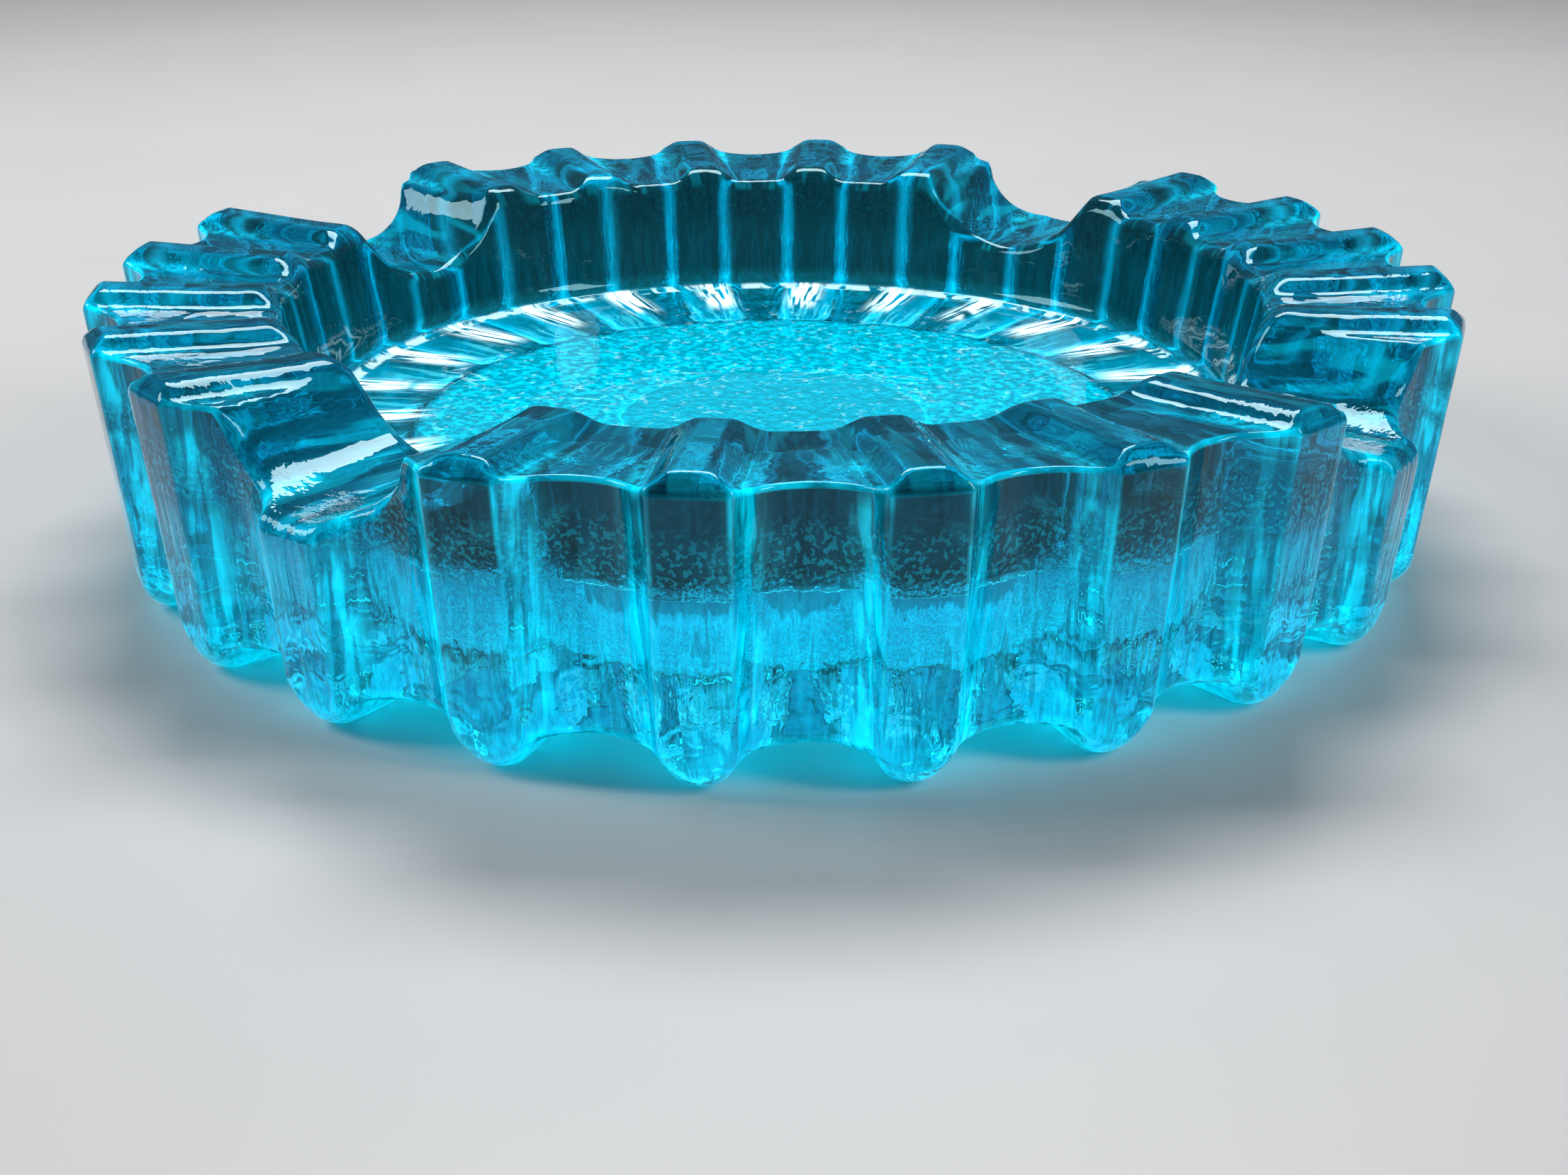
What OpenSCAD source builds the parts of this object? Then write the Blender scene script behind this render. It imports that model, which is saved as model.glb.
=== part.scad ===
// Heavy pressed-glass dish with 24 outer ribs, a drafted round bowl and four rest notches.
// It is pressed in one shot, so it is one solid: the mould body forms the ribs, flutes and
// feet, the plunger forms the bowl, and the ring between them forms the rim and its crowns.
// Origin: centre of the dish on the table. +Z is up, a rest notch lies on each of +-X and +-Y.

/* [Dish] */
// Diameter over the ribs, at the top of their faces
dish_d = 180; // [150:1:240]
// Height from the table to the top of the rib crowns
dish_h = 36.4; // [32:0.2:44]
// Lean of the outer wall from upright, in degrees
wall_draft = 5; // [2:0.5:8]

/* [Bowl] */
// Diameter of the bowl at the level of the rim
bowl_d = 131.6; // [110:0.2:140]
// Lean of the bowl's wall from upright, in degrees
bowl_draft = 10.8; // [5:0.2:14]
// Thickness of the floor, from the base plane to the inside
floor_t = 12.3; // [8:0.1:15]
// Radius of the corner between the floor and the bowl's wall
floor_round = 3; // [1:0.1:5]

/* [Rim] */
// How far the rim falls from its outer edge to the fold
rim_drop = 1.2; // [0.4:0.1:2.5]
// Width of the level ledge between the fold and the bowl
ledge_w = 5.8; // [3:0.1:9]
// Radius of the rim's edge into the bowl
lip_round = 2; // [0.8:0.1:2.8]
// How far a crown, the end of a rib, stands above the rim
crown_h = 1.9; // [0.8:0.1:3]
// Width of the flat on top of a crown
crown_top_w = 4.8; // [3:0.1:6]
// Width of a crown's foot, where its flanks meet the rim
crown_foot_w = 9.4; // [8:0.1:12]
// Radial length of the slope at a crown's outer end
crown_chamfer = 2; // [0.8:0.1:4]
// Radius of a crown's inner end, into the bowl
crown_round = 3.6; // [2.9:0.1:4.5]

/* [Ribs] */
// Number of ribs from one rest notch to the next, not counting the notched ones
ribs_between = 5; // [4:1:6]
// Width of a rib's face at its top
rib_w = 8.6; // [6:0.1:10]
// Depth of the flute between two ribs, in its middle
flute_depth = 4.5; // [2.5:0.1:6]

/* [Rests] */
// Number of rest notches round the rim
rest_n = 4; // [3:1:4]
// Depth of a rest below the rim's outer edge
rest_depth = 9.3; // [6:0.1:12]
// Radius of the round trough of a rest
rest_round = 15.3; // [12:0.1:17]

/* [Underside] */
// Height of the feet, and so of the base plane above the table
foot_h = 4.2; // [3:0.1:5.5]
// Width of a round foot
foot_w = 7.8; // [5:0.1:8]
// Width of the flat that a foot stands on
foot_flat = 2; // [0.8:0.1:3]
// Radius of a foot's outer end, up into its rib
toe_round = 4; // [2:0.1:6]
// Radius of the plain disc inside the ring of feet
disc_r = 50; // [40:0.5:55]
// Radius of the moulded ring in the middle of the base
ring_r = 21.6; // [12:0.1:30]
// Depth of the moulded ring
ring_depth = 0.5; // [0.2:0.1:1]

/* [Hidden] */
$fn = 96;

over = 8;                        // how far a cutter runs past what it cuts
rib_n = rest_n * (ribs_between + 1);
pitch = 360 / rib_n;             // angle from rib to rib
rim_z = dish_h - crown_h;        // the rim's outer edge, and the top of the rib faces
floor_z = foot_h + floor_t;
top_r = dish_d / 2;

// Radius of the outer wall and of the bowl's wall at a height
function wall_r(z) = top_r - (rim_z - z) * tan(wall_draft);
function bowl_r(z) = bowl_d / 2 - (rim_z - z) * tan(bowl_draft);

// A flute is a leaning cylinder through the edges of two ribs
half_gap = pitch / 2 - asin(rib_w / dish_d);
gap_half_w = top_r * sin(half_gap);
gap_sag = top_r * cos(half_gap) - (top_r - flute_depth);
flute_r = (gap_half_w ^ 2 + gap_sag ^ 2) / (2 * gap_sag);
flute_axis = top_r - flute_depth + flute_r;

// The rim's line, lifted by rise: outer edge, fold, and corner into the bowl
ledge_z = rim_z - rim_drop;
fold_r = bowl_d / 2 + ledge_w;
function rim_line(rise) = [
    [top_r, rim_z + rise],
    [fold_r, ledge_z + rise],
    [bowl_r(ledge_z + rise), ledge_z + rise]
];

function unit(v) = v / norm(v);

// Points that round the corner at p, with the radius r, from its side to a to its side to b
function rounded(p, a, b, r, steps = 3) =
    let (
        u = unit(a - p),
        v = unit(b - p),
        half = acos(u * v) / 2,
        centre = p + unit(u + v) * r / sin(half),
        arm_a = p + u * r / tan(half) - centre,
        arm_b = p + v * r / tan(half) - centre
    )
    [for (i = [0 : steps]) centre + r * unit(arm_a * (1 - i / steps) + arm_b * i / steps)];

// Corner of the bowl at its floor
floor_corner = [bowl_r(floor_z), floor_z];

// The blank: the dish turned round as if it had no flutes, at the height of the crowns
module blank() {
    crown = rim_line(crown_h);
    toe = [wall_r(0), 0];
    face_top = [top_r, rim_z];
    profile = concat(
        [[0, 0]],
        rounded(toe, [0, 0], face_top, toe_round, 4),
        [face_top, [top_r - crown_chamfer, dish_h], crown[1]],
        rounded(crown[2], crown[1], floor_corner, crown_round),
        rounded(floor_corner, crown[2], [0, floor_z], floor_round),
        [[0, floor_z]]
    );
    rotate_extrude($fn = 180) polygon(profile);
}

// Section of a crown: a flat top at height 0 and flanks that slope down into the rim
module crown_section() {
    top = crown_top_w / 2;
    foot = crown_foot_w / 2;
    deep = crown_h + 1;
    root = top + (foot - top) * deep / crown_h;
    polygon([[-top, over], [-top, 0], [-root, -deep], [root, -deep], [top, 0], [top, over]]);
}

// Everything above the rim that is not a crown
module rim_relief() {
    line = rim_line(0);
    slope_rise = rim_drop / (top_r - fold_r);
    top_z = dish_h + over / 2;
    difference() {
        rotate_extrude($fn = 180) polygon(concat(
            [[top_r + over, rim_z + slope_rise * over], line[1]],
            rounded(line[2], line[1], floor_corner, lip_round),
            [floor_corner + [-over, over], [line[2].x - over, top_z], [top_r + over, top_z]]
        ));
        for (i = [0 : rib_n - 1])
            rotate([0, 0, i * pitch])
                translate([top_r, 0, dish_h])
                    rotate([0, atan(slope_rise), 0])
                        rotate([90, 0, -90])
                            translate([0, 0, -2 * over])
                                linear_extrude(height = top_r - bowl_d / 2 + 4 * over)
                                    crown_section();
    }
}

// Section of a foot: round below, with a narrow flat to stand on and upright sides above
module foot_section() {
    r = foot_w / 2;
    middle = sqrt(r ^ 2 - (foot_flat / 2) ^ 2);
    translate([0, middle]) circle(r = r);
    translate([-r, middle]) square([foot_w, foot_h]);
}

// Everything below the base plane that is not a foot
module base_relief() {
    difference() {
        translate([0, 0, -over]) cylinder(h = foot_h + over, r = top_r + over, $fn = 180);
        difference() {
            for (i = [0 : rib_n - 1])
                rotate([0, 0, i * pitch])
                    translate([disc_r - over / 2, 0, 0])
                        rotate([90, 0, 90])
                            linear_extrude(height = top_r - disc_r + 2 * over)
                                foot_section();
            translate([0, 0, -1])
                cylinder(h = foot_h + 3, r1 = disc_r + foot_h + 1, r2 = disc_r - 2, $fn = 180);
        }
    }
}

// Leaning cylinders between the ribs
module flutes() {
    for (i = [0 : rib_n - 1])
        rotate([0, 0, (i + 0.5) * pitch])
            translate([flute_axis, 0, rim_z])
                rotate([0, wall_draft, 0])
                    translate([0, 0, -rim_z - over])
                        cylinder(h = rim_z + 2 * over, r = flute_r);
}

// Round troughs through the rim, each on a rib
module rests() {
    for (i = [0 : rest_n - 1])
        rotate([0, 0, i * 360 / rest_n])
            translate([bowl_d / 2 - 2 * over, 0, rim_z - rest_depth + rest_round])
                rotate([0, 90, 0])
                    cylinder(h = top_r - bowl_d / 2 + 3 * over, r = rest_round);
}

// Moulded ring in the middle of the base
module base_ring() {
    rotate_extrude($fn = 180) translate([ring_r, foot_h]) circle(r = ring_depth);
}

module glass_dish() {
    color([0.25, 0.85, 0.95, 0.6]) difference() {
        blank();
        rim_relief();
        base_relief();
        flutes();
        rests();
        base_ring();
    }
}

glass_dish();
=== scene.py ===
# %% [markdown]
# # A heavy pressed-glass dish with 24 ribs
# The real dish is pressed in one shot from molten glass. A mould body forms the ribs, the
# flutes and the feet, a plunger forms the bowl, and a ring between the two forms the rim.
# This lesson loads the imported CAD solid, builds a finer skin over it from the same sizes,
# gives it a glass with a painted glow, and sets it on a pale table under soft light.

# %% Load the imported solid
import math

import bpy
import numpy as np
from mathutils import Matrix, Vector


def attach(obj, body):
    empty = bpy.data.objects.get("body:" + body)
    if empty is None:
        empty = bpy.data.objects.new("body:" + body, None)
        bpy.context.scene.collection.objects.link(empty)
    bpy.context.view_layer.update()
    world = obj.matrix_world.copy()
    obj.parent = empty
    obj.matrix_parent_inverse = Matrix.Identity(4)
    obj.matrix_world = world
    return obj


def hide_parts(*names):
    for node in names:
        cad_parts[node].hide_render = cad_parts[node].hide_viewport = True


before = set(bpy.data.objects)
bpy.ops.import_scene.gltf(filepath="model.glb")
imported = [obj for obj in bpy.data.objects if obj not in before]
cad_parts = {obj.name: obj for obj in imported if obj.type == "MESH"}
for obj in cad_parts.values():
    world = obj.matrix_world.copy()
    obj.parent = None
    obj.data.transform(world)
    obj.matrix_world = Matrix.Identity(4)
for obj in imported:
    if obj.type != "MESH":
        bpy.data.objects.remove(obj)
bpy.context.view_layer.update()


scene = bpy.context.scene

# %% [markdown]
# ## The camera
# The photograph looks down at the dish from a short distance, so near ribs are clearly
# larger than far ones. A camera could be placed by eye, but here its place, heading and
# lens were solved from the rib corners, so the render can be laid beside the photograph.

# %% Camera from place, heading and tilt
CAMERA_PLACE = (0.1540, -0.2178, 0.09936)
HEADING = math.radians(124.97)
TILT = math.radians(-22.79)
ROLL = math.radians(-0.09)
LENS_MM, SENSOR_MM, NEAREST = 45.71, 36, 0.01


def aim(heading, tilt, roll):
    """The turn of a camera that looks along a heading, tilted up and then rolled."""
    forward = Vector((
        math.cos(heading) * math.cos(tilt), math.sin(heading) * math.cos(tilt), math.sin(tilt)))
    level = Vector((math.sin(heading), -math.cos(heading), 0))
    up = level.cross(forward)
    right = level * math.cos(roll) + up * math.sin(roll)
    up = up * math.cos(roll) - level * math.sin(roll)
    return Matrix((right, up, -forward)).transposed()


lens = bpy.data.cameras.new("camera")
lens.lens = LENS_MM
lens.sensor_width = SENSOR_MM
lens.sensor_fit = "HORIZONTAL"
lens.clip_start = NEAREST
camera = bpy.data.objects.new("camera", lens)
camera.matrix_world = Matrix.Translation(CAMERA_PLACE) @ aim(HEADING, TILT, ROLL).to_4x4()
scene.collection.objects.link(camera)
scene.camera = camera
print("camera at", CAMERA_PLACE, "with a", LENS_MM, "mm lens")

# %% [markdown]
# ## Sizes of the dish
# Every size here is the one that the CAD part was made from, in millimetres. The skin is
# built from them again, so it lies on the solid and only adds what a solid leaves out:
# soft corners, rounded feet and the fine swell of pressed glass.

# %% Sizes in millimetres
DISH_R, DISH_H, WALL_DRAFT = 90.0, 36.4, math.radians(5)
BOWL_R, BOWL_DRAFT, FLOOR_ROUND = 65.8, math.radians(10.8), 3.0
CROWN_H, CROWN_TOP, CROWN_FOOT = 1.9, 2.4, 4.7
CROWN_CHAMFER, CROWN_ROUND, LIP_ROUND = 2.0, 3.6, 2.0
RIM_DROP, LEDGE_W = 1.2, 5.8
RIBS, RIB_HALF, FLUTE_DEPTH = 24, 4.3, 4.5
REST_DEPTH, REST_ROUND, REST_STEP = 9.3, 15.3, 6
FOOT_H, FOOT_R, TOE_ROUND = 4.2, 3.9, 4.0
DISC_R, RING_R, RING_DEPTH, FLOOR_T = 50.0, 21.6, 0.5, 12.3
RIM_Z = DISH_H - CROWN_H
FLOOR_Z = FOOT_H + FLOOR_T
LEDGE_Z = RIM_Z - RIM_DROP
FOLD_R = BOWL_R + LEDGE_W
PITCH = 2 * math.pi / RIBS
print("rim at", RIM_Z, "mm, floor at", FLOOR_Z, "mm, fold at radius", FOLD_R, "mm")

# %% [markdown]
# ## Soft corners from small functions
# Pressed glass has no sharp corner: the gob never fills the last bit of the mould, and
# the rim is fire-polished. Bevels would do it, but on a shape with 24 ribs and 4 notches
# they break where edges meet. A smooth minimum and maximum of two surfaces round every
# meeting line by a known size, wherever it runs.

# %% Smooth minimum, maximum and corner
CORNER_PULL = 0.72  # how far a round corner leans out to its tip


def soft_min(a, b, size):
    near = np.maximum(size - np.abs(a - b), 0) / size
    return np.minimum(a, b) - near * near * size / 4


def soft_max(a, b, size):
    return -soft_min(-a, -b, size)


def corner(before, tip, after, steps):
    """Points of a round corner: a conic from before to after that leans on tip."""
    rows = []
    for i in range(1, steps):
        t = i / steps
        wa, wt, wb = (1 - t) ** 2, 2 * CORNER_PULL * t * (1 - t), t * t
        rows.append(tuple(
            (wa * p + wt * q + wb * r) / (wa + wt + wb) for p, q, r in zip(before, tip, after)))
    return rows


inset = float(-soft_min(np.array(0.0), np.array(0.0), 1.0))
print("two planes that cross meet", inset, "mm inside the sharp edge")

# %% [markdown]
# ## Columns that follow the ribs
# The skin is one net of quads. Its columns run from the middle of the base, out along a
# foot, up a rib, over the rim, down the bowl and back to the middle of the floor. Spokes
# at even angles would cross the rib edges and leave steps, so a column keeps a steady
# distance from its rib's middle line, and only the ones in the flutes fan out.

# %% Plan of the columns
SPOKE_X = 52.0  # radius inside which all columns run as plain spokes
RIB_COLUMNS = [1.0, 1.9, 2.4, 2.9, 3.6, 4.05, 4.35, 4.7, 5.15]
FLUTE_COLUMNS = [0.13, 0.30, 0.52, 0.76]
REST_RIB_COLUMNS = [0.8, 1.6, 2.4, 3.1, 3.8, 4.15, 4.45, 4.9]
REST_FLUTE_COLUMNS = [0.07, 0.15, 0.23, 0.32, 0.41, 0.5, 0.6, 0.7, 0.8, 0.9]
HALFWAY = math.tan(PITCH / 2)


def half_rib(steps, shares):
    """Lines y = start + slope * x beside a rib: parallel on the rib, fanned in the flute."""
    edge = steps[-1]
    return [(s, 0.0) for s in steps] + [(edge * (1 - f), f * HALFWAY) for f in shares]


def plan_columns():
    columns = []
    for rib in range(RIBS):
        step = rib % REST_STEP
        for side in (-1, 1):
            by_rest = step == 0 or (step, side) in ((1, -1), (REST_STEP - 1, 1))
            if by_rest:
                lines = half_rib(REST_RIB_COLUMNS, REST_FLUTE_COLUMNS)
            else:
                lines = half_rib(RIB_COLUMNS, FLUTE_COLUMNS)
            lines = [(0.0, 0.0)] + lines + [(0.0, HALFWAY)] if side == 1 else lines[::-1]
            columns += [(rib, side, start, slope) for start, slope in lines]
    return np.array(columns)


PLAN = plan_columns()
TURN, SIDE, START, SLOPE = PLAN[:, 0] * PITCH, PLAN[:, 1], PLAN[:, 2], PLAN[:, 3]
SPREAD = (START + SLOPE * SPOKE_X) / SPOKE_X
REST_TURN = -((PLAN[:, 0] + REST_STEP / 2) % REST_STEP - REST_STEP / 2) * PITCH
print(len(PLAN), "columns round the dish")

# %% [markdown]
# ## Walls as distances
# Each face of the mould is a small function. The first ones say how far out a wall stands
# on a column at some height. A mould can be cut in the same way, one tool pass per face:
# a leaning cylinder cuts each flute out of a cone, and then all edges are eased.

# %% Walls
RIB_EDGE_SOFT = 0.9


def across(x):
    """How far a column lies from its rib's middle line, at a distance x along that line."""
    return START + SLOPE * x


def meet_circle(radius, centre_x, centre_y, far):
    """Where a column's line crosses a circle, as x along the rib's middle line."""
    a = 1 + SLOPE ** 2
    b = START * SLOPE - centre_x - SLOPE * centre_y
    c = centre_x ** 2 + (START - centre_y) ** 2 - radius ** 2
    inside = b * b - a * c
    root = np.sqrt(np.maximum(inside, 0))
    return np.where(inside > 0, (-b + (root if far else -root)) / a, 1e3)


half_gap = PITCH / 2 - math.asin(RIB_HALF / DISH_R)
gap_w = DISH_R * math.sin(half_gap)
gap_sag = DISH_R * math.cos(half_gap) - (DISH_R - FLUTE_DEPTH)
FLUTE_R = (gap_w ** 2 + gap_sag ** 2) / (2 * gap_sag)
FLUTE_AXIS = DISH_R - FLUTE_DEPTH + FLUTE_R


def wall_x(z):
    """The outer wall: the round rib faces, with a leaning cylinder cut out of each gap."""
    lean = (RIM_Z - z) * math.tan(WALL_DRAFT)
    face = meet_circle(DISH_R - lean, 0, 0, True)
    axis = FLUTE_AXIS - lean
    flute = meet_circle(
        FLUTE_R, axis * math.cos(PITCH / 2), axis * math.sin(PITCH / 2), False)
    return soft_min(face, flute, RIB_EDGE_SOFT)


def bowl_x(z):
    return meet_circle(BOWL_R - (RIM_Z - z) * math.tan(BOWL_DRAFT), 0, 0, True)


top_wall = wall_x(RIM_Z)
print("flutes of radius", round(FLUTE_R, 2), "mm; wall at the rim from",
      round(float(top_wall.min()), 2), "to", round(float(top_wall.max()), 2), "mm")

# %% [markdown]
# ## Rim, crowns and rests as heights
# The rim falls inward to a fold and then runs level to the bowl. A crown is a low ridge
# on each rib with a sloped outer end. A rest is a round trough that cuts both, and its
# outer end flares a little where the plunger ring met the mould. Heights are easier here
# than distances, because all of these faces look up.

# %% Rim, crowns and rest notches
FOLD_SOFT, CROWN_SOFT, CHAMFER_SOFT, REST_SOFT = 0.25, 0.9, 0.6, 1.5
RIM_SINK = 0.03  # keeps the softened rim just under the solid's
FLARE, FLARE_START, FLARE_RUN = 1.6, 85.5, 4.5


def rest_z(x):
    """Height of the round trough that runs out through the rim at each rest."""
    off = np.abs(SIDE * across(x) * np.cos(REST_TURN) - x * np.sin(REST_TURN))
    outward = np.clip((np.hypot(x, across(x)) - FLARE_START) / FLARE_RUN, 0, 1)
    off = np.maximum(off - FLARE * outward ** 2, 0)
    axis = RIM_Z - REST_DEPTH + REST_ROUND
    inside = np.maximum(REST_ROUND ** 2 - off ** 2, 0.3)
    return np.where(off < REST_ROUND - 0.01, axis - np.sqrt(inside), 1e2)


def rim_z(x):
    """Height of the rim with its crowns and rests, at a distance x along the rib's line."""
    y = across(x)
    r = np.hypot(x, y)
    slope = RIM_DROP / (DISH_R - FOLD_R)
    base = soft_max(LEDGE_Z + (r - FOLD_R) * slope, LEDGE_Z + 0 * r, FOLD_SOFT)
    flank = (CROWN_FOOT - y) * CROWN_H / (CROWN_FOOT - CROWN_TOP)
    rise = soft_min(flank, CROWN_H + 0 * y, CROWN_SOFT)
    top = base + soft_max(rise, 0 * y, CROWN_SOFT) - RIM_SINK
    top = soft_min(top, RIM_Z + (DISH_R - r) * CROWN_H / CROWN_CHAMFER, CHAMFER_SOFT)
    return soft_min(top, rest_z(x), REST_SOFT)


rim_line = rim_z(top_wall)
print("rim from", round(float(rim_line.min()), 2), "to", round(float(rim_line.max()), 2), "mm")

# %% [markdown]
# ## Feet as lowest heights
# The dish stands on 24 round feet, which are the lower ends of the ribs and run in to a
# plain disc. Between two feet the glass turns up in a hollow curve, which is the rounded
# edge of the mould. A half circle and a quarter circle that touch make that line without
# a kink.

# %% Feet
ARCH_ROUND = 3.0  # radius of the hollow curve between a foot and the base
DISC_EDGE_SLOPE, DISC_EDGE_SOFT = 0.9, 1.6
ARCH_Y = math.sqrt((FOOT_R + ARCH_ROUND) ** 2 - (FOOT_H - ARCH_ROUND - FOOT_R) ** 2)
ARCH_START = ARCH_Y * FOOT_R / (FOOT_R + ARCH_ROUND)


def foot_low(y):
    """Lowest point of a foot at a distance y from its middle."""
    foot = FOOT_R - np.sqrt(np.maximum(FOOT_R ** 2 - np.minimum(y, ARCH_START) ** 2, 0))
    into_arch = np.clip(ARCH_Y - y, 0, ARCH_ROUND)
    arch = FOOT_H - ARCH_ROUND + np.sqrt(np.maximum(ARCH_ROUND ** 2 - into_arch ** 2, 0))
    return np.where(y < ARCH_START, foot, np.where(y < ARCH_Y, arch, FOOT_H))


def under_z(x):
    """Height of the underside, with the feet sloped up to the disc at their inner ends."""
    y = across(x)
    cone = FOOT_H - (np.hypot(x, y) - DISC_R) * DISC_EDGE_SLOPE
    return np.minimum(soft_max(foot_low(y), cone, DISC_EDGE_SOFT), FOOT_H)


print("a foot turns into its arch", round(ARCH_START, 2), "mm from its middle")

# %% [markdown]
# ## From profile to skin
# For each column the profile is walked once round: base, toe, wall, rim, bowl, floor. It
# is an array of rows by columns, so all columns are made at the same time, and a row
# always means the same place on the dish. The rows crowd together where the glass bends.

# %% A pen that draws rows
HALF_STEPS = 6
ROWS = []


def flat(r, z):
    """A row on the flat middle, at a radius where the columns already run as spokes."""
    x = r / np.sqrt(1 + SPREAD ** 2)
    ROWS.append((x, SPREAD * x, z + 0 * x))


def put(x, z):
    ROWS.append((x, across(x), z))


def put_corner(before, tip, after, steps):
    for x, z in corner(before, tip, after, steps):
        put(x, z)


def settle_on_rim(wall, start):
    """Height at which a leaning wall meets the rim: each step goes half of the way."""
    z = start + 0 * SIDE
    for _ in range(HALF_STEPS):
        z = 0.5 * z + 0.5 * rim_z(wall(z))
    return z


top = settle_on_rim(wall_x, RIM_Z)
print("the wall meets the rim between", round(float(top.min()), 2), "and",
      round(float(top.max()), 2), "mm up")

# %% [markdown]
# ## Underside and toe
# The base carries a shallow moulded ring, so its rows crowd round that radius. The toe
# is the round turn from a foot into its rib. In a flute there is hardly a foot, so the
# turn gets tighter there, and each column works out its own.

# %% Rows of the underside and the toe
BASE_RADII = (9, 18, 20.4, 20.9, 21.2, 21.4, 21.6, 21.8, 22.0, 22.3, 22.8, 32, 42, 47.5, 49.5)
FOOT_SHARES = (0.0, 0.03, 0.06, 0.09, 0.125, 0.165, 0.22, 0.4, 0.6, 0.8, 1.0)
RING_SOFT, TOE_X, FLUTE_TOE = 0.38, 84.0, 1.3
TOE_CHANGE = (3.0, 3.0)  # where the toe starts to get tighter, and how far that takes
FEET_IN = SPOKE_X - 1.0

for r in BASE_RADII:
    flat(r, FOOT_H + RING_DEPTH * math.exp(-((r - RING_R) / RING_SOFT) ** 2))
in_flute = np.clip((across(TOE_X) - TOE_CHANGE[0]) / TOE_CHANGE[1], 0, 1)
toe = TOE_ROUND * (1 - in_flute) + FLUTE_TOE * in_flute
low = under_z(TOE_X)
toe_x = wall_x(low)
toe_in = toe_x - toe
for share in FOOT_SHARES:
    x = FEET_IN + (toe_in - SPOKE_X + 1.0) * share
    put(x, under_z(x))
wall_low = low + toe
put_corner((toe_in, low), (toe_x, low), (wall_x(wall_low), wall_low), 8)
print(len(ROWS), "rows up to the toe")

# %% [markdown]
# ## Up the wall
# The wall is straight from the toe to the rim, so even steps do for it. It stops short of
# the rim by the round of its edge, which is wider at the rests, where a cigar would lie.

# %% Rows of the wall
WALL_ROWS = 15
EDGE_ROUND, REST_MORE = 0.7, 1.8  # the round of the edge, and what a rest adds to it
REST_FROM, REST_SPAN = 0.5, 1.5  # how far under the rim a rest starts, and is full

in_rest = np.clip((RIM_Z - REST_FROM - top) / REST_SPAN, 0, 1)
edge_round = EDGE_ROUND + REST_MORE * in_rest
wall_high = top - edge_round
for share in np.linspace(0, 1, WALL_ROWS):
    z = wall_low + (wall_high - wall_low) * share
    put(wall_x(z), z)
print(len(ROWS), "rows up to the outer edge")

# %% [markdown]
# ## Over the rim
# After the round outer edge come the chamfer of the crowns, the slope down to the fold and
# the level ledge. Rows stand close together where one face turns into the next, so that
# the edges stay crisp, and far apart between them.

# %% Rows of the rim
CONIC_REACH = 0.83  # share of a corner's radius at which its conic starts
CROWN_X, CHAMFER_ROOM = 66.0, 0.9
CHAMFER_STEPS = (0.28, 0.12, 0.0, -0.14, -0.35, -0.9)
SLOPE_SHARES = (0.2, 0.4, 0.6, 0.8, 0.93)
FOLD_STEPS = (0.35, 0.12, -0.12, -0.4)
LEDGE_SHARES = (0.25, 0.55, 0.85, 1.0)

edge_x = wall_x(top)
rim_x = edge_x - edge_round
put_corner((wall_x(wall_high), wall_high), (edge_x, top), (rim_x, rim_z(rim_x)), 5)
bowl_top = settle_on_rim(bowl_x, LEDGE_Z)
lip_x = bowl_x(bowl_top)
on_crown = np.clip((CROWN_FOOT - across(CROWN_X)) / (CROWN_FOOT - CROWN_TOP), 0, 1)
on_crown = on_crown * (1 - in_rest)
lip = (LIP_ROUND + (CROWN_ROUND - LIP_ROUND) * on_crown) * CONIC_REACH
rim_in = lip_x + lip
chamfer_x = np.minimum(DISH_R - CROWN_CHAMFER, edge_x - edge_round - CHAMFER_ROOM)
fold_x = np.sqrt(np.maximum(FOLD_R ** 2 - across(FOLD_R) ** 2, 1))

rim_rows = [rim_x, rim_x * 0.5 + chamfer_x * 0.5]
rim_rows += [chamfer_x + step for step in CHAMFER_STEPS]
rim_rows += [(chamfer_x - 0.9) * (1 - s) + (fold_x + 0.4) * s for s in SLOPE_SHARES]
rim_rows += [fold_x + step for step in FOLD_STEPS]
rim_rows += [(fold_x - 0.4) * (1 - s) + rim_in * s for s in LEDGE_SHARES]
for x in rim_rows:
    put(x, rim_z(x))
print(len(ROWS), "rows up to the lip of the bowl")

# %% [markdown]
# ## Down the bowl and over the floor
# The lip is rounder at a crown than beside it, as the plunger ring left it. A round
# corner joins the wall to a flat floor, which needs only a few rows.

# %% Rows of the bowl and the floor
BOWL_ROWS, FLOOR_RADII = 13, (48, 38, 28, 18, 9)
lip_low = bowl_top - lip
put_corner((rim_in, rim_z(rim_in)), (lip_x, bowl_top), (bowl_x(lip_low), lip_low), 9)
floor_round = FLOOR_ROUND * CONIC_REACH
for share in np.linspace(0, 1, BOWL_ROWS):
    z = lip_low + (FLOOR_Z + floor_round - lip_low) * share
    put(bowl_x(z), z)
floor = FLOOR_Z + 0 * top
tip_x = bowl_x(floor)
floor_edge = (bowl_x(floor + floor_round), floor + floor_round)
put_corner(floor_edge, (tip_x, floor), (tip_x - floor_round, floor), 7)
put(tip_x - floor_round, floor)
put(SPOKE_X + 0 * top + 2.0, floor)
for r in FLOOR_RADII:
    flat(r, FLOOR_Z)
ROWS = np.array(ROWS)
print(ROWS.shape[0], "rows of", ROWS.shape[2], "points")

# %% [markdown]
# ## One closed mesh
# The rows are turned from each rib's own line to the whole dish and joined by quads. A
# fan of triangles closes each middle, so the skin has an inside, which the glass needs:
# its colour and glow work on the way that a ray travels in it.

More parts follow.
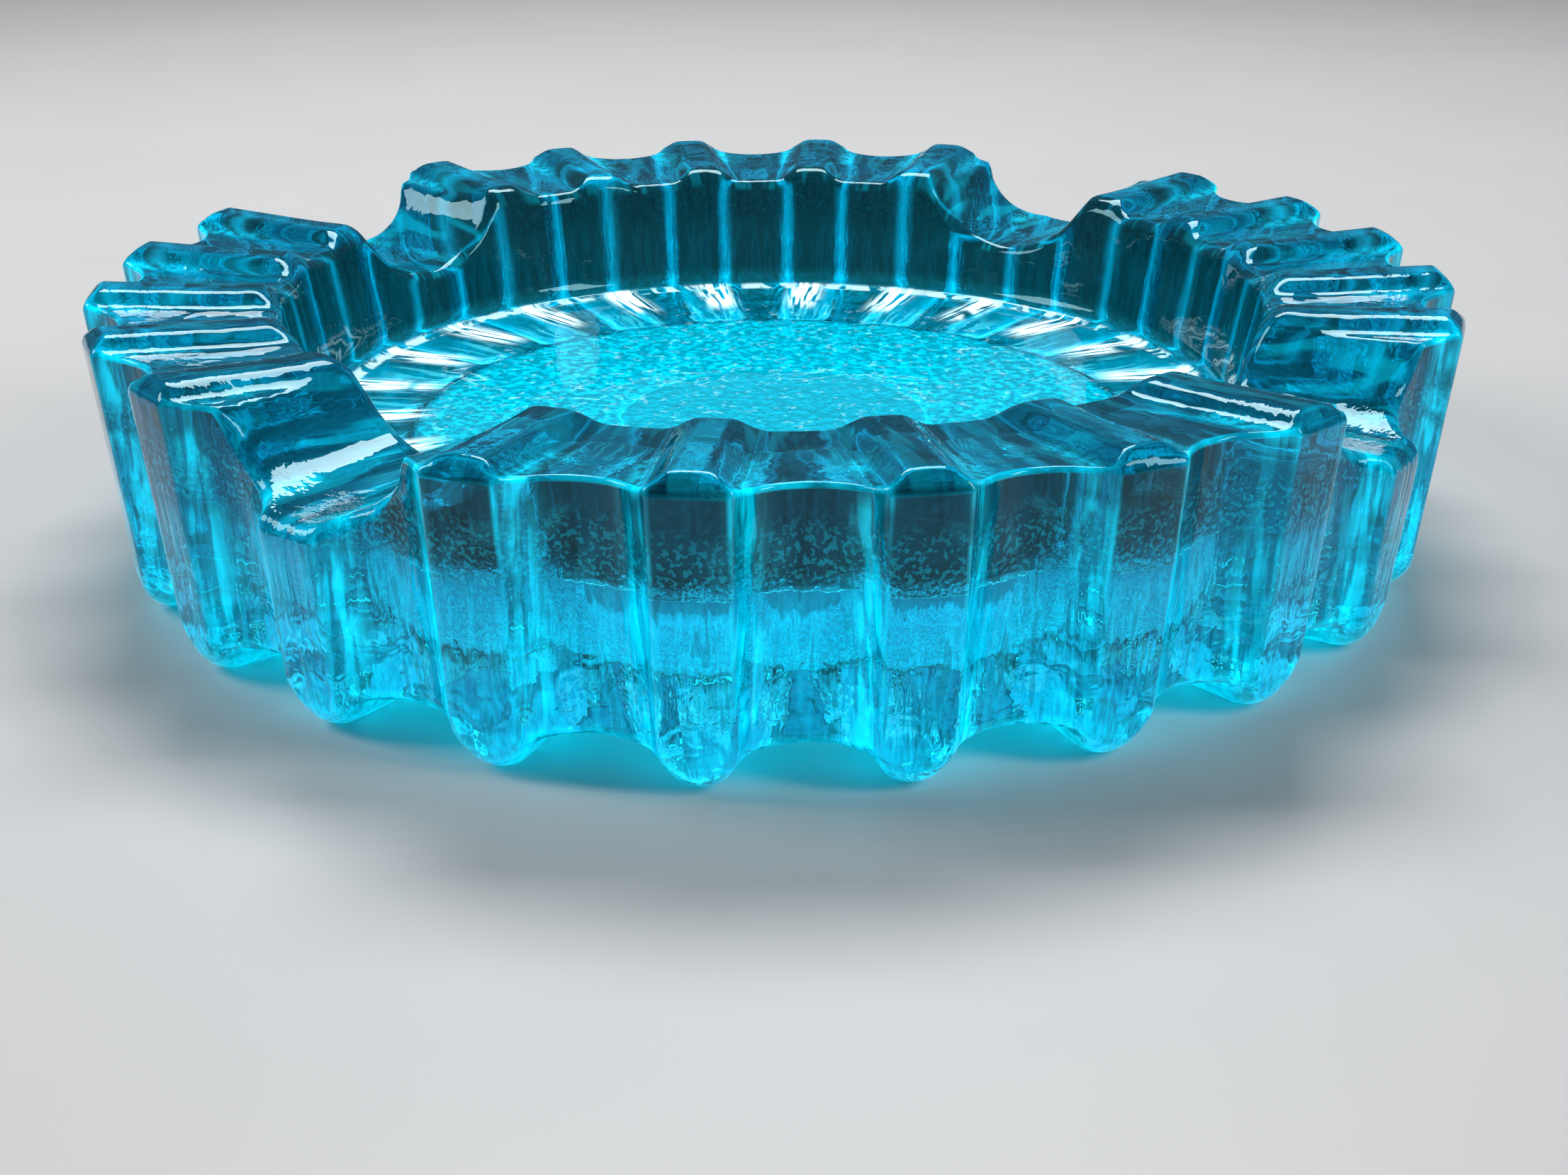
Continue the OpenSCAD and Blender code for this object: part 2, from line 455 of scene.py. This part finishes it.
# %% Mesh from rows
def skin(name, rows, low_middle, high_middle):
    """One closed mesh: quads between the rows, and a fan of triangles at each middle."""
    n_rows, _, n = rows.shape
    x, y, z = rows[:, 0], rows[:, 1] * SIDE, rows[:, 2]
    c, s = np.cos(TURN), np.sin(TURN)
    points = np.stack([x * c - y * s, x * s + y * c, z], -1).reshape(-1, 3)
    points = np.vstack([points, [[0, 0, low_middle], [0, 0, high_middle]]]) / 1000
    here = np.arange(n)
    there = (here + 1) % n
    faces = []
    for row in range(n_rows - 1):
        a, b = row * n, (row + 1) * n
        faces += np.stack([a + here, a + there, b + there, b + here], -1).tolist()
    pairs = list(zip(here.tolist(), there.tolist()))
    last = (n_rows - 1) * n
    faces += [[n_rows * n, j, i] for i, j in pairs]
    faces += [[n_rows * n + 1, last + i, last + j] for i, j in pairs]
    mesh = bpy.data.meshes.new(name)
    mesh.from_pydata(points.tolist(), [], faces)
    mesh.shade_smooth()
    mesh.update()
    piece = bpy.data.objects.new(name, mesh)
    scene.collection.objects.link(piece)
    return piece


dish = skin("dish_glass", ROWS, FOOT_H, FLOOR_Z)
print("skin of", len(dish.data.polygons), "faces")

# %% [markdown]
# ## Is the skin the right way out?
# A closed mesh whose faces look outward has a positive volume. The sum of the small
# pyramids from the origin to each triangle gives it, and it also tells how much glass
# the skin holds, to be held against the solid's 486 ml.

# %% Volume of the skin
def volume_ml(piece):
    piece.data.calc_loop_triangles()
    co = np.array([v.co for v in piece.data.vertices])
    tri = np.array([t.vertices for t in piece.data.loop_triangles])
    a, b, c = co[tri[:, 0]], co[tri[:, 1]], co[tri[:, 2]]
    return float(np.einsum("ij,ij->i", a, np.cross(b, c)).sum() / 6) * 1e6, len(tri)


volume, triangles = volume_ml(dish)
if volume < 0:
    dish.data.flip_normals()
print(triangles, "triangles, holding", round(abs(volume), 1), "ml of glass")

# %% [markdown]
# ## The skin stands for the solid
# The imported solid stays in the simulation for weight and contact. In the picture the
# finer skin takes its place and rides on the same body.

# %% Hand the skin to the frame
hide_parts("glass_dish")
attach(dish, "root")
print("the skin replaces the solid on the body root")

# %% [markdown]
# ## Helpers for node materials
# A material is a graph of small steps. These two helpers add a node with its settings
# and join it up, so each finish below reads as a list of what it is made of.

# %% Node helpers
def add(tree, kind, inputs=None, **settings):
    """A new node; each of its inputs gets a value, or a socket that is joined to it."""
    node = tree.nodes.new(kind)
    for key, value in settings.items():
        setattr(node, key, value)
    for key, value in (inputs or {}).items():
        socket = node.inputs[key]
        if isinstance(value, bpy.types.NodeSocket):
            tree.links.new(value, socket)
        else:
            socket.default_value = value
    return node


def blank_material(name):
    material = bpy.data.materials.new(name)
    material.use_nodes = True
    material.node_tree.nodes.clear()
    return material, material.node_tree


print("node helpers ready")

# %% [markdown]
# ## Where light leaks out
# Light that is caught inside clear glass slides along between the flat faces and gets out
# where a face bends: at rib edges, along the rim and on the round feet. That is why a
# glowing dish looks drawn with bright lines. Here that light is painted: how sharply the skin
# bends is measured on every point and kept as a mask that the glass reads to paint its glow.

# %% Measure how the skin bends
NET_ROWS, _, NET_COLUMNS = ROWS.shape
NET = NET_ROWS * NET_COLUMNS
STEP_FLOOR = 0.15  # mm, keeps very short steps from counting as sharp
BEND_START, BEND_SPAN = 0.40, 0.6  # turn per mm where the mask starts, and until it is full


def point_values(piece, what):
    """The place or the normal of every point, as an array of three columns."""
    values = np.zeros((len(piece.data.vertices), 3), np.float32)
    piece.data.vertices.foreach_get(what, values.ravel())
    return values


def bend_mask(piece):
    normal = point_values(piece, "normal")[:NET].reshape(NET_ROWS, NET_COLUMNS, 3)
    place = point_values(piece, "co")[:NET].reshape(NET_ROWS, NET_COLUMNS, 3) * 1000
    bend = np.zeros(normal.shape[:2])
    for axis in (0, 1):
        turn = np.roll(normal, -1, axis) - np.roll(normal, 1, axis)
        way = np.roll(place, -1, axis) - np.roll(place, 1, axis)
        part = np.linalg.norm(turn, axis=-1) / (np.linalg.norm(way, axis=-1) + STEP_FLOOR)
        if axis == 0:
            part[0] = part[-1] = 0
        bend = np.maximum(bend, part)
    share = np.clip((bend - BEND_START) / BEND_SPAN, 0, 1)
    mask = np.zeros(len(piece.data.vertices), np.float32)
    mask[:NET] = (share * share * (3 - 2 * share)).ravel()
    return mask


bend = bend_mask(dish)
print("share of points on a sharp bend:", round(float((bend > 0.5).mean()), 3))

# %% [markdown]
# ## Masks that follow the ribs
# Light also gathers on the steep flank between a rib and its flute, and over the middle
# of each foot, and the glass paints it there as emission. Both could be painted by hand, but
# the columns already know how far they lie from their rib, so two bell curves of that
# distance do it for all 24 ribs at once. One more mask tells walls from the faces that look
# up or down.

# %% Flank, foot and upright masks
FLANK_X, FLANK_AT, FLANK_WIDTH = 86.0, 5.4, 1.1
FOOT_X, FOOT_WIDTH = 60.0, 2.4
WALL_FROM, WALL_SPAN = 0.55, 0.25  # how little a normal must tip up or down on a wall


def by_column(values):
    """One value per column, the same on all rows, and none on the two middles."""
    mask = np.zeros(len(dish.data.vertices))
    mask[:NET] = np.tile(values, NET_ROWS)
    return mask


def store(name, mask):
    layer = dish.data.attributes.new(name, "FLOAT", "POINT")
    layer.data.foreach_set("value", mask.astype(np.float32))


tipped = np.abs(point_values(dish, "normal")[:, 2])
store("bend", bend)
store("flank", by_column(np.exp(-((across(FLANK_X) - FLANK_AT) / FLANK_WIDTH) ** 2)))
store("foot", by_column(np.exp(-(across(FOOT_X) / FOOT_WIDTH) ** 4)))
store("upright", np.clip((WALL_FROM - tipped) / WALL_SPAN, 0, 1))
print("masks on", dish.name, "from", NET_ROWS, "rows and", NET_COLUMNS, "columns")

# %% [markdown]
# ## The glowing glass and its painted light
# Cyan art glass is clear, and it is coloured all through, so thin parts look pale and
# thick ones deep. The real dish also glows: light that is caught between its walls leaves
# at the edges. A surface colour alone can't do that, so here the glow is painted: the
# inside of the mesh absorbs red and some green, and gives off a little cyan on every
# millimetre that a ray travels, and the surface gives off painted light where light leaks.
# The next cells work out one mask after another, and the last one joins them.

# %% Small steps for the glass
glass_look, glass_tree = blank_material("cyan_pressed_glass")


def calc(how, a, b=0.0, c=0.0):
    return add(glass_tree, "ShaderNodeMath", {0: a, 1: b, 2: c}, operation=how).outputs[0]


def times(*parts):
    """The product of masks and numbers."""
    product = parts[0]
    for part in parts[1:]:
        product = calc("MULTIPLY", product, part)
    return product


def scaled(mask, gain, base):
    """The mask times a gain, plus a base."""
    return calc("MULTIPLY_ADD", mask, gain, base)


def ramp(value, low, high):
    """0 below low and 1 above high, smooth between; high may be the smaller one."""
    ends = {"Value": value, "From Min": low, "From Max": high}
    node = add(glass_tree, "ShaderNodeMapRange", ends, interpolation_type="SMOOTHSTEP")
    return node.outputs["Result"]


def noise(vector, scale, detail, **more):
    inputs = {"Vector": vector, "Scale": scale, "Detail": detail, **more}
    return add(glass_tree, "ShaderNodeTexNoise", inputs).outputs["Fac"]


def stored(name):
    return add(glass_tree, "ShaderNodeAttribute", attribute_name=name).outputs["Fac"]


print("an empty material:", glass_look.name)

# %% [markdown]
# ## Measures on the dish
# The glass is the same everywhere, but the tools that shaped it weren't: a polished rim,
# a drawn wall, a stippled base. To tell them apart, the material reads where a point
# lies on the dish itself: its height, its distance from the middle and its angle, in
# metres and radians. They stay with the dish when it is moved or turned.

# %% Height, radius and angle
where = add(glass_tree, "ShaderNodeTexCoord").outputs["Object"]
axes = add(glass_tree, "ShaderNodeSeparateXYZ", {0: where})
east, north, height = (axes.outputs[name] for name in ("X", "Y", "Z"))
level = add(glass_tree, "ShaderNodeCombineXYZ", {"X": east, "Y": north}).outputs[0]
distance = add(glass_tree, "ShaderNodeVectorMath", {0: level}, operation="LENGTH")
radius = distance.outputs["Value"]
angle = calc("ARCTAN2", north, east)
inside_face = add(glass_tree, "ShaderNodeNewGeometry").outputs["Backfacing"]
bends, flanks, foot, upright = (stored(name) for name in ("bend", "flank", "foot", "upright"))
print("measures use", len(glass_tree.nodes), "nodes")

# %% [markdown]
# ## Zones of the dish
# Each zone is a product of smooth steps in height and radius, one for each tool that
# touched the glass or for a place where light is painted. The window is the band of the
# wall through which the stippled base shows dark in the photograph; it is placed where
# that view shows it.

# %% Zones
under = ramp(height, 0.0062, 0.0052)
disc = times(under, ramp(radius, 0.0500, 0.0485))
frost_in = ramp(radius, 0.0210, 0.0222)
feet = times(under, ramp(radius, 0.0490, 0.0520))

outer = ramp(radius, 0.0770, 0.0800)
low_wall = times(outer, ramp(height, 0.0250, 0.0190))
foot_zone = times(outer, ramp(height, 0.0170, 0.0090))
window = times(ramp(height, 0.0228, 0.0236), ramp(height, 0.0320, 0.0270))
window = times(window, times(outer, upright))

polish = ramp(height, 0.0310, 0.0340)
top_face = times(ramp(height, 0.0195, 0.0215), calc("SUBTRACT", 1.0, upright))
on_floor = times(
    ramp(height, 0.0160, 0.0164), ramp(height, 0.0172, 0.0167), ramp(radius, 0.0640, 0.0625))
print("zones bring it to", len(glass_tree.nodes), "nodes")

# %% [markdown]
# ## Uneven marks from noise
# No two marks in pressed glass are alike. A few noises of different grain stand for them:
# pebbles of the frosted base, streaks that run down a drawn wall, slow waves of
# the melt, ripples of chilled glass, and lines that run out from the middle.

# %% Noises
stretch = add(glass_tree, "ShaderNodeMapping", {"Vector": where, "Scale": (1, 1, 0.12)})
pebble = noise(where, 760.0, 2.0, Roughness=0.6)
streak = noise(stretch.outputs[0], 760.0, 2.0)
wave = noise(where, 130.0, 1.5, Distortion=0.8)
ripple = noise(where, 300.0, 1.0, Distortion=1.2)
grain = noise(where, 1700.0, 1.0)


def radial_noise(across_lines, along_lines, detail, **more):
    """A noise of long grains that run out from the middle of the dish."""
    sides = {"X": times(angle, across_lines), "Y": times(radius, along_lines)}
    ray = add(glass_tree, "ShaderNodeCombineXYZ", sides)
    return noise(ray.outputs[0], 1.0, detail, **more)


line = radial_noise(75.0, 90.0, 1.0)
broad = radial_noise(32.0, 70.0, 1.5, Distortion=0.6)
print("noises bring it to", len(glass_tree.nodes), "nodes")

# %% [markdown]
# ## Fine relief as one height
# Hot glass that slides down a mould keeps upright draw lines, and by the feet, where it
# chills first, low ripples. The base carries the stipple that was cut into its plate.
# As real geometry this would take millions of faces, so the parts are summed into one
# height that feeds a single bump.

# %% Bump
BUMP_REACH = 0.0004  # metres from the bottom to the top of the height

frost = times(disc, scaled(frost_in, 0.8, 0.2))
lift = times(pebble, frost, 2.2)
lift = scaled(times(disc, frost_in), 1.2, lift)
lift = scaled(times(grain, window), 0.16, lift)
drawn = scaled(ramp(height, 0.0300, 0.0180), 0.8, 0.2)
lift = scaled(times(streak, outer), times(drawn, 0.65), lift)
lift = scaled(times(ripple, foot_zone), 1.0, lift)
lift = scaled(wave, scaled(polish, 0.45, 0.3), lift)
bump = add(glass_tree, "ShaderNodeBump", {"Strength": 1.0, "Distance": BUMP_REACH, "Height": lift})
print("relief within", BUMP_REACH * 1000, "mm for each unit of height")

# %% [markdown]
# ## How matt the glass is
# Rim and walls are fire-polished and nearly clear. The frosted disc scatters a little,
# and the lowest part of each foot is worn by the tables that it has stood on.

# %% Roughness
CLEAR, FROSTED, WORN, WAVY = 0.012, 0.10, 0.25, 0.02

matt = scaled(disc, FROSTED, CLEAR)
worn = times(feet, ramp(height, 0.0008, 0.0002))
matt = scaled(worn, WORN, matt)
matt = scaled(ramp(wave, 0.45, 0.75), WAVY, matt)
print("roughness", CLEAR, "on clear glass, with", WORN, "more on the worn feet")

# %% [markdown]
# ## Painted light that leaks from walls and rim
# The caught light leaves at bends and along the flanks, in broken lines as the waves of
# the glass let it. Here it is all painted, as emission of the surface. It fills the low part
# of the wall, glints in the grain of the windows and lies softly on the rests. On the far
# side of the bowl one looks at the flanks from within, and there they stand as bright bars.

# %% Leaks at bends, flanks and walls
# Painted light: glow at bends and flanks, glints in the windows, light on tops and rests, bars,
# low-wall sheet.
uneven = scaled(ramp(wave, 0.35, 0.62), 0.75, 0.25)
leak = times(bends, uneven, 0.75)

strip = times(flanks, outer, uneven)
drawn_line = scaled(ramp(streak, 0.42, 0.56), 0.75, 0.25)
leak = scaled(times(strip, drawn_line), 0.85, leak)
leak = scaled(times(window, ramp(grain, 0.52, 0.62)), 0.17, leak)

rest_more = scaled(ramp(height, 0.0335, 0.0312), 0.16, 0.13)
top_light = times(top_face, rest_more, ramp(broad, 0.50, 0.62))
leak = calc("ADD", top_light, leak)

bars = times(calc("POWER", flanks, 3.0), times(outer, inside_face))
leak = scaled(bars, 2.2, leak)
sheet = scaled(ramp(streak, 0.42, 0.60), 0.20, 0.02)
leak = scaled(low_wall, sheet, leak)
print("leaks bring it to", len(glass_tree.nodes), "nodes")

# %% [markdown]
# ## Painted light from below
# No lamp shines from below, so the glow of the base is painted here. The frosted disc of
# the real dish catches light from all sides, and its painted glow is the brightest part of
# the base; its plain middle is calmer. Along the crest of each foot runs a painted bright
# ridge that fades outward, with clouds of light where the glass rippled and a few nearly
# white lines inside.

# %% Disc and feet
# Painted glow of the disc, speckled like its frost.
speck = ramp(pebble, 0.42, 0.62)
disc_glow_speckle = times(speck, scaled(frost_in, 0.7, 0.3))
disc_light = times(disc, scaled(disc_glow_speckle, 1.9, 1.25))

# Painted bright ridge along each foot, and clouds of painted light over the feet.
crest = times(feet, ramp(height, 0.0040, 0.0015))
fade = ramp(radius, 0.0900, 0.0560)
leak = scaled(crest, scaled(fade, 0.8, 0.06), leak)

glow_cloud = scaled(ramp(ripple, 0.40, 0.62), 0.40, 0.30)
glow_cloud = times(glow_cloud, scaled(ramp(radius, 0.0880, 0.0760), 0.65, 0.35))
leak = scaled(feet, glow_cloud, leak)

# Painted nearly white lines in the feet.
hot = times(
    feet, ramp(radius, 0.0660, 0.0600), ramp(line, 0.50, 0.58), ramp(height, 0.0041, 0.0030))
print("light from below brings it to", len(glass_tree.nodes), "nodes")

# %% [markdown]
# ## Gathered light on the floor
# Each foot works as a lens, and over it the floor shows a fan of white streaks. Where the
# floor meets the bowl's wall the round corner gathers light into a chain of beads. Real
# gathered light takes a very long render and stays noisy, so both are painted here as
# emission, and so are sparse white sparkles on the floor over the disc, which are painted
# highlights.

# %% Streaks over the feet, and beads round the floor
BEAD_RING = 0.0606  # metres, the radius of the chain of beads

# Painted highlights: white sparkles on the floor over the disc.
sparkle = times(on_floor, times(ramp(radius, 0.0520, 0.0470), ramp(pebble, 0.60, 0.70)))
# Painted streaks of gathered light over each foot.
reach = times(ramp(radius, 0.0455, 0.0525), ramp(wave, 0.28, 0.46))
gathered = times(times(on_floor, foot), reach, ramp(line, 0.41, 0.52))

# Painted chain of beads round the edge of the floor.
from_ring = calc("ABSOLUTE", calc("SUBTRACT", radius, BEAD_RING))
bead = times(
    ramp(from_ring, 0.0011, 0.0004), ramp(height, 0.0160, 0.0165),
    ramp(height, 0.0195, 0.0180), ramp(ripple, 0.44, 0.56))

spots = calc("MAXIMUM", times(sparkle, 0.30), times(gathered, 2.4))
spots = times(spots, calc("SUBTRACT", 1.0, inside_face))
spots = calc("MAXIMUM", spots, times(bead, scaled(inside_face, 1.5, 1.0)))
print("beads", BEAD_RING * 1000, "mm from the middle")

# %% [markdown]
# ## Colour of the painted light
# All of these lights are painted, as emission of the surface. Leaks and disc are pure
# cyan. Light that has been gathered is stronger than the colour of the glass and turns
# nearly white, so the hot lines and the spots have red as well.

# %% Sum of the lights
LEAK_CYAN, DISC_CYAN = (0.0, 0.62, 0.86), (0.0, 0.78, 0.95)
HOT_WHITE, SPOT_WHITE = (1.6, 1.1, 1.1), (0.65, 0.85, 0.85)


def shine(amount, colour):
    scale = {0: colour, "Scale": amount}
    return add(glass_tree, "ShaderNodeVectorMath", scale, operation="SCALE").outputs[0]


def joined(a, b):
    return add(glass_tree, "ShaderNodeVectorMath", {0: a, 1: b}, operation="ADD").outputs[0]


# The painted light, summed for the surface's emission.
light = joined(shine(leak, LEAK_CYAN), shine(disc_light, DISC_CYAN))
light = joined(light, shine(hot, HOT_WHITE))
light = joined(light, shine(spots, SPOT_WHITE))
print("four lights in one colour")

# %% [markdown]
# ## Tint of the surface
# Thick walls pass less light than the floor. High on the wall, from the lower edge of the
# windows up, the darkest tint is painted shade, so the view through the glass looks dark
# there. Along upright streaks of the outer wall the tint is darker. The tint works beside
# the colour inside: it is what lets a wall look deep although the dish glows.

# %% Tint
FLOOR_TINT, WALL_TINT = (0.04, 0.165, 0.19, 1), (0.03, 0.080, 0.10, 1)
HIGH_SHADE_TINT, STREAK_TINT = (0.02, 0.045, 0.060, 1), (0.01, 0.020, 0.03, 1)


def blend(share, first, second):
    parts = {"Factor": share, "A": first, "B": second}
    return add(glass_tree, "ShaderNodeMix", parts, data_type="RGBA").outputs["Result"]


walls = calc("MAXIMUM", outer, ramp(height, 0.0172, 0.0200))
# Painted shade: the darkest tint high on the wall, from the windows' lower edge up.
shade_high = ramp(height, scaled(outer, 0.0038, 0.0180), scaled(outer, 0.0040, 0.0200))
# Darker tint along the upright streaks of the outer wall.
dark_line = times(outer, ramp(streak, 0.57, 0.66))
tint = blend(walls, FLOOR_TINT, WALL_TINT)
tint = blend(shade_high, tint, HIGH_SHADE_TINT)
tint = blend(dark_line, tint, STREAK_TINT)
print("tint brings it to", len(glass_tree.nodes), "nodes")

# %% [markdown]
# ## Surface, inside and shadow together
# The surface is clear glass with all the masks above, and its emission gives off the painted
# light. The inside takes away red fast and adds its own faint painted glow. Lamp light that
# bends its way through solid glass to the table would take a very long render, so for
# shadow rays alone the dish counts as a dark filter that lets a trace of cyan through. The
# cool tint of the reflections isn't what real glass has, but it holds back the red of the
# pale table.

# %% Glass shader
REFLECTION_TINT, REFRACTION = (0.45, 0.90, 1.0, 1), 1.5
INSIDE_COLOUR, INSIDE_DENSITY = (0.0, 0.89, 0.92, 1), 100.0
# Colour and strength of the painted glow inside the glass.
GLOW_COLOUR, GLOW_STRENGTH = (0.0, 0.86, 1.0, 1), 2.6
SHADOW_FILTER = (0.0, 0.05, 0.07, 1)

glass = add(glass_tree, "ShaderNodeBsdfPrincipled", {
    "Base Color": tint, "Specular Tint": REFLECTION_TINT, "Roughness": matt,
    "IOR": REFRACTION, "Transmission Weight": 1.0, "Emission Color": light,
    "Emission Strength": 1.0, "Normal": bump.outputs["Normal"]})
soak = add(glass_tree, "ShaderNodeVolumeAbsorption", {
    "Color": INSIDE_COLOUR, "Density": INSIDE_DENSITY})
# Painted glow inside the glass, on every millimetre that a ray travels.
glow = add(glass_tree, "ShaderNodeEmission", {
    "Color": GLOW_COLOUR, "Strength": GLOW_STRENGTH})
inside = add(glass_tree, "ShaderNodeAddShader", {0: soak.outputs[0], 1: glow.outputs[0]})
path = add(glass_tree, "ShaderNodeLightPath")
shade = add(glass_tree, "ShaderNodeBsdfTransparent", {"Color": SHADOW_FILTER})
surface = add(glass_tree, "ShaderNodeMixShader", {
    0: path.outputs["Is Shadow Ray"], 1: glass.outputs[0], 2: shade.outputs[0]})
add(glass_tree, "ShaderNodeOutputMaterial", {
    "Surface": surface.outputs[0], "Volume": inside.outputs[0]})
dish.data.materials.append(glass_look)
print("glass of", len(glass_tree.nodes), "nodes on", dish.name)

# %% [markdown]
# ## The table
# A pale, slightly mottled table under soft studio lamps. It is a wide disc, so its edge
# stays far behind the dish. It keeps the dish's shadow, and its colour alone makes it
# pale. A little gloss lets the glowing feet show in it.

# %% Table
TABLE_R = 3.0


def table_material():
    material, tree = blank_material("pale_table")
    where = add(tree, "ShaderNodeTexCoord").outputs["Object"]
    mottle = add(tree, "ShaderNodeTexNoise", {"Vector": where, "Scale": 14.0, "Detail": 5.0})
    tone = add(tree, "ShaderNodeMix", {
        "Factor": mottle.outputs["Fac"],
        "A": (0.70, 0.71, 0.72, 1), "B": (0.78, 0.78, 0.78, 1)}, data_type="RGBA")
    board = add(tree, "ShaderNodeBsdfPrincipled", {
        "Base Color": tone.outputs["Result"], "Roughness": 0.45})
    add(tree, "ShaderNodeOutputMaterial", {"Surface": board.outputs[0]})
    return material


bpy.ops.mesh.primitive_circle_add(vertices=96, radius=TABLE_R, fill_type="NGON")
table = bpy.context.object
table.name = "table"
table.data.materials.append(table_material())
print("table of", round(table.dimensions.x, 2), "m")

# %% [markdown]
# ## Soft lamps and a dim room
# Small hard lamps would put sharp spots on every rib. Broad ones give each crown one
# long soft light, as a studio does. One stands over the dish and behind it, and one at
# each side. The room is dim, because clear glass mirrors all of it.

# %% Lamps and world
def soft_lamp(name, place, target, size, watts):
    data = bpy.data.lights.new(name, "AREA")
    data.shape = "RECTANGLE"
    data.size, data.size_y = size
    data.energy = watts
    lamp = bpy.data.objects.new(name, data)
    lamp.location = place
    lamp.rotation_euler = (Vector(target) - Vector(place)).to_track_quat("-Z", "Y").to_euler()
    scene.collection.objects.link(lamp)


soft_lamp("lamp_over", (-0.25, 0.35, 0.75), (0, 0, 0), (0.5, 0.3), 5.2)
soft_lamp("lamp_left", (-0.55, -0.35, 0.50), (0, 0, 0.02), (0.25, 0.4), 2.2)
soft_lamp("lamp_right", (0.65, 0.10, 0.45), (0, 0, 0.02), (0.15, 0.45), 1.7)
world = bpy.data.worlds.new("studio")
world.use_nodes = True
room = world.node_tree.nodes["Background"].inputs
room["Color"].default_value = (0.065, 0.068, 0.072, 1)
room["Strength"].default_value = 1.0
scene.world = world

# %% [markdown]
# ## Picture settings
# A ray that enters at one rib can meet a dozen faces before it leaves the dish. With few
# bounces it would end inside and leave black patches, so glass gets more of them here.

# %% Bounces and view
scene.view_settings.view_transform = "Standard"
scene.cycles.max_bounces = 18
scene.cycles.transmission_bounces = 16
scene.cycles.glossy_bounces = 8
scene.cycles.transparent_max_bounces = 16
print("light may bounce", scene.cycles.max_bounces, "times")
